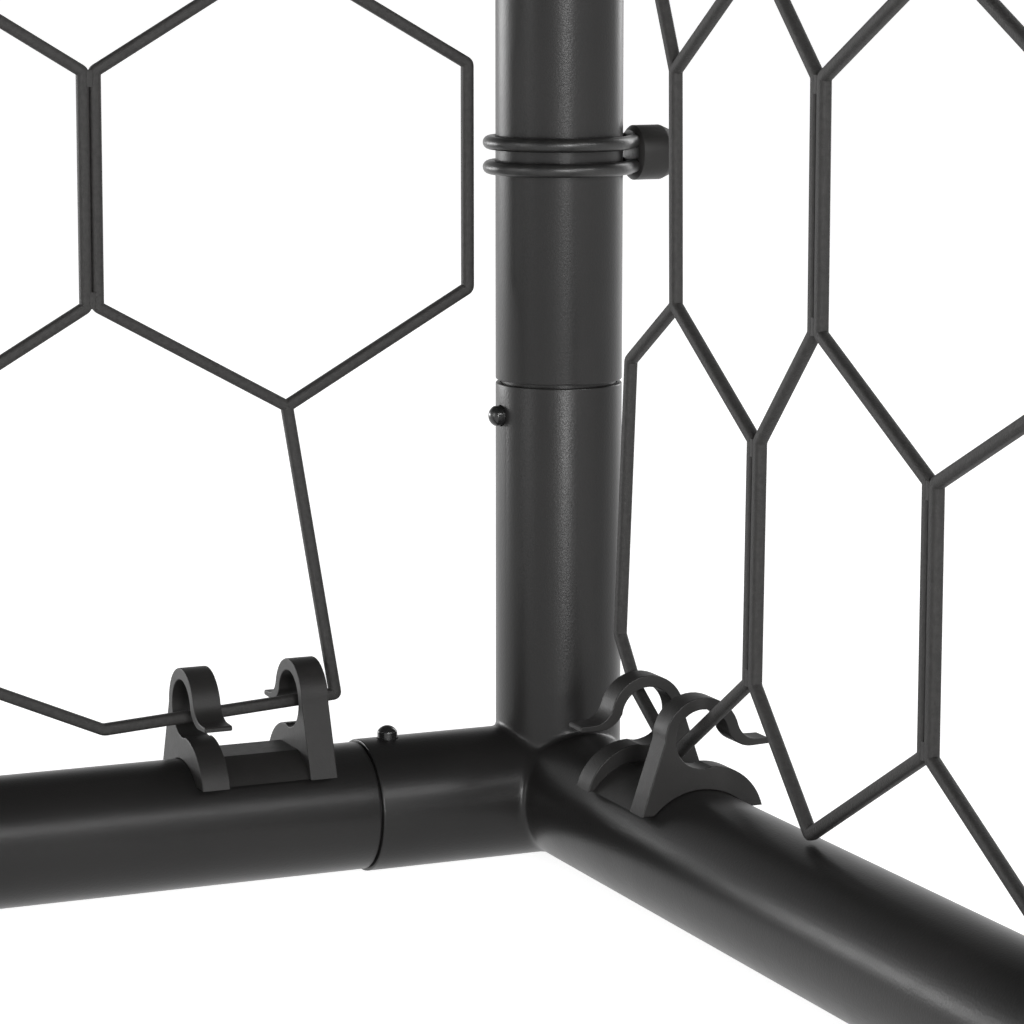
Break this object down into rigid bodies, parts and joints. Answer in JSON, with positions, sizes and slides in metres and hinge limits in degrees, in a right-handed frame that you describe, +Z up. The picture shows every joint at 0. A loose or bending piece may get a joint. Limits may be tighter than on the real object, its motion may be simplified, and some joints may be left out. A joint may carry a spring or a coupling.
{
  "type": "goal frame with net",
  "caption": "Box-shaped knock-down training goal: black round steel tubes with snap-button joints, coarse hexagonal rope netting, net clips and bungee loops.",
  "frame": {"origin": "on the floor, under the middle of the goal's plan outline", "axes": "+X along the goal line, +Y from the open mouth to the rear net, +Z up"},
  "size_m": [1.9474, 0.7694, 1.2629],
  "materials": {
    "tube_coating": "satin black powder coat",
    "snap_button": "glossy black",
    "spring_steel": "bare spring steel",
    "net_rope": "matt charcoal knotless rope",
    "clip_plastic": "matt dark grey moulded plastic",
    "bungee_cord": "smooth black sheath",
    "toggle_plastic": "satin dark grey moulded plastic"
  },
  "bodies": {
    "goal": {"rear_corner_left": "tube_coating", "front_foot_left": "tube_coating", "top_front_corner_left": "tube_coating", "top_rear_corner_left": "tube_coating", "front_post_left": "tube_coating", "rear_upright_left": "tube_coating", "top_side_tube_left": "tube_coating", "crossbar_left": "tube_coating", "rear_top_bar_left": "tube_coating", "rear_base_bar_left": "tube_coating", "rear_corner_right": "tube_coating", "front_foot_right": "tube_coating", "top_front_corner_right": "tube_coating", "top_rear_corner_right": "tube_coating", "front_post_right": "tube_coating", "rear_upright_right": "tube_coating", "top_side_tube_right": "tube_coating", "crossbar_right": "tube_coating", "rear_top_bar_right": "tube_coating", "rear_base_bar_right": "tube_coating", "net_clips_rear_base": "clip_plastic", "net_clips_rear_top": "clip_plastic", "net_clips_crossbar": "clip_plastic", "net_clips_base_left": "clip_plastic", "net_clips_base_right": "clip_plastic", "net_clips_top_left": "clip_plastic", "net_clips_top_right": "clip_plastic", "net_back": "net_rope", "net_left": "net_rope", "net_right": "net_rope", "net_top": "net_rope", "snap_springs": "spring_steel", "bungee_cords": "bungee_cord", "bungee_toggles": "toggle_plastic"},
    "foot_post_left_button": {"button_foot_post_left": "snap_button"},
    "rear_upright_low_left_button": {"button_rear_upright_low_left": "snap_button"},
    "front_post_top_left_button": {"button_front_post_top_left": "snap_button"},
    "rear_upright_top_left_button": {"button_rear_upright_top_left": "snap_button"},
    "foot_side_left_button": {"button_foot_side_left": "snap_button"},
    "top_side_front_left_button": {"button_top_side_front_left": "snap_button"},
    "top_side_rear_left_button": {"button_top_side_rear_left": "snap_button"},
    "crossbar_end_left_button": {"button_crossbar_end_left": "snap_button"},
    "rear_top_end_left_button": {"button_rear_top_end_left": "snap_button"},
    "rear_base_end_left_button": {"button_rear_base_end_left": "snap_button"},
    "foot_post_right_button": {"button_foot_post_right": "snap_button"},
    "rear_upright_low_right_button": {"button_rear_upright_low_right": "snap_button"},
    "front_post_top_right_button": {"button_front_post_top_right": "snap_button"},
    "rear_upright_top_right_button": {"button_rear_upright_top_right": "snap_button"},
    "foot_side_right_button": {"button_foot_side_right": "snap_button"},
    "top_side_front_right_button": {"button_top_side_front_right": "snap_button"},
    "top_side_rear_right_button": {"button_top_side_rear_right": "snap_button"},
    "crossbar_end_right_button": {"button_crossbar_end_right": "snap_button"},
    "rear_top_end_right_button": {"button_rear_top_end_right": "snap_button"},
    "rear_base_end_right_button": {"button_rear_base_end_right": "snap_button"},
    "crossbar_middle_button": {"button_crossbar_middle": "snap_button"},
    "rear_top_bar_middle_button": {"button_rear_top_bar_middle": "snap_button"},
    "rear_base_bar_middle_button": {"button_rear_base_bar_middle": "snap_button"}
  },
  "joints": [
    {"name": "foot_post_left_press", "type": "slide", "parent": "goal", "child": "foot_post_left_button", "axis": [-1, 0, 0], "range_m": [0, 0.004], "stiffness_N_per_m": 600, "springref_m": -0.004},
    {"name": "rear_upright_low_left_press", "type": "slide", "parent": "goal", "child": "rear_upright_low_left_button", "axis": [-1, 0, 0], "range_m": [0, 0.004], "stiffness_N_per_m": 600, "springref_m": -0.004},
    {"name": "front_post_top_left_press", "type": "slide", "parent": "goal", "child": "front_post_top_left_button", "axis": [-1, 0, 0], "range_m": [0, 0.004], "stiffness_N_per_m": 600, "springref_m": -0.004},
    {"name": "rear_upright_top_left_press", "type": "slide", "parent": "goal", "child": "rear_upright_top_left_button", "axis": [-1, 0, 0], "range_m": [0, 0.004], "stiffness_N_per_m": 600, "springref_m": -0.004},
    {"name": "foot_side_left_press", "type": "slide", "parent": "goal", "child": "foot_side_left_button", "axis": [0, 0, -1], "range_m": [0, 0.004], "stiffness_N_per_m": 600, "springref_m": -0.004},
    {"name": "top_side_front_left_press", "type": "slide", "parent": "goal", "child": "top_side_front_left_button", "axis": [0, 0, 1], "range_m": [0, 0.004], "stiffness_N_per_m": 600, "springref_m": -0.004},
    {"name": "top_side_rear_left_press", "type": "slide", "parent": "goal", "child": "top_side_rear_left_button", "axis": [0, 0, 1], "range_m": [0, 0.004], "stiffness_N_per_m": 600, "springref_m": -0.004},
    {"name": "crossbar_end_left_press", "type": "slide", "parent": "goal", "child": "crossbar_end_left_button", "axis": [0, 0, 1], "range_m": [0, 0.004], "stiffness_N_per_m": 600, "springref_m": -0.004},
    {"name": "rear_top_end_left_press", "type": "slide", "parent": "goal", "child": "rear_top_end_left_button", "axis": [0, 0, 1], "range_m": [0, 0.004], "stiffness_N_per_m": 600, "springref_m": -0.004},
    {"name": "rear_base_end_left_press", "type": "slide", "parent": "goal", "child": "rear_base_end_left_button", "axis": [0, 0, -1], "range_m": [0, 0.004], "stiffness_N_per_m": 600, "springref_m": -0.004},
    {"name": "foot_post_right_press", "type": "slide", "parent": "goal", "child": "foot_post_right_button", "axis": [1, 0, 0], "range_m": [0, 0.004], "stiffness_N_per_m": 600, "springref_m": -0.004},
    {"name": "rear_upright_low_right_press", "type": "slide", "parent": "goal", "child": "rear_upright_low_right_button", "axis": [1, 0, 0], "range_m": [0, 0.004], "stiffness_N_per_m": 600, "springref_m": -0.004},
    {"name": "front_post_top_right_press", "type": "slide", "parent": "goal", "child": "front_post_top_right_button", "axis": [1, 0, 0], "range_m": [0, 0.004], "stiffness_N_per_m": 600, "springref_m": -0.004},
    {"name": "rear_upright_top_right_press", "type": "slide", "parent": "goal", "child": "rear_upright_top_right_button", "axis": [1, 0, 0], "range_m": [0, 0.004], "stiffness_N_per_m": 600, "springref_m": -0.004},
    {"name": "foot_side_right_press", "type": "slide", "parent": "goal", "child": "foot_side_right_button", "axis": [0, 0, -1], "range_m": [0, 0.004], "stiffness_N_per_m": 600, "springref_m": -0.004},
    {"name": "top_side_front_right_press", "type": "slide", "parent": "goal", "child": "top_side_front_right_button", "axis": [0, 0, 1], "range_m": [0, 0.004], "stiffness_N_per_m": 600, "springref_m": -0.004},
    {"name": "top_side_rear_right_press", "type": "slide", "parent": "goal", "child": "top_side_rear_right_button", "axis": [0, 0, 1], "range_m": [0, 0.004], "stiffness_N_per_m": 600, "springref_m": -0.004},
    {"name": "crossbar_end_right_press", "type": "slide", "parent": "goal", "child": "crossbar_end_right_button", "axis": [0, 0, 1], "range_m": [0, 0.004], "stiffness_N_per_m": 600, "springref_m": -0.004},
    {"name": "rear_top_end_right_press", "type": "slide", "parent": "goal", "child": "rear_top_end_right_button", "axis": [0, 0, 1], "range_m": [0, 0.004], "stiffness_N_per_m": 600, "springref_m": -0.004},
    {"name": "rear_base_end_right_press", "type": "slide", "parent": "goal", "child": "rear_base_end_right_button", "axis": [0, 0, -1], "range_m": [0, 0.004], "stiffness_N_per_m": 600, "springref_m": -0.004},
    {"name": "crossbar_middle_press", "type": "slide", "parent": "goal", "child": "crossbar_middle_button", "axis": [0, 0, 1], "range_m": [0, 0.004], "stiffness_N_per_m": 600, "springref_m": -0.004},
    {"name": "rear_top_bar_middle_press", "type": "slide", "parent": "goal", "child": "rear_top_bar_middle_button", "axis": [0, 0, 1], "range_m": [0, 0.004], "stiffness_N_per_m": 600, "springref_m": -0.004},
    {"name": "rear_base_bar_middle_press", "type": "slide", "parent": "goal", "child": "rear_base_bar_middle_button", "axis": [0, 0, -1], "range_m": [0, 0.004], "stiffness_N_per_m": 600, "springref_m": -0.004}
  ]
}
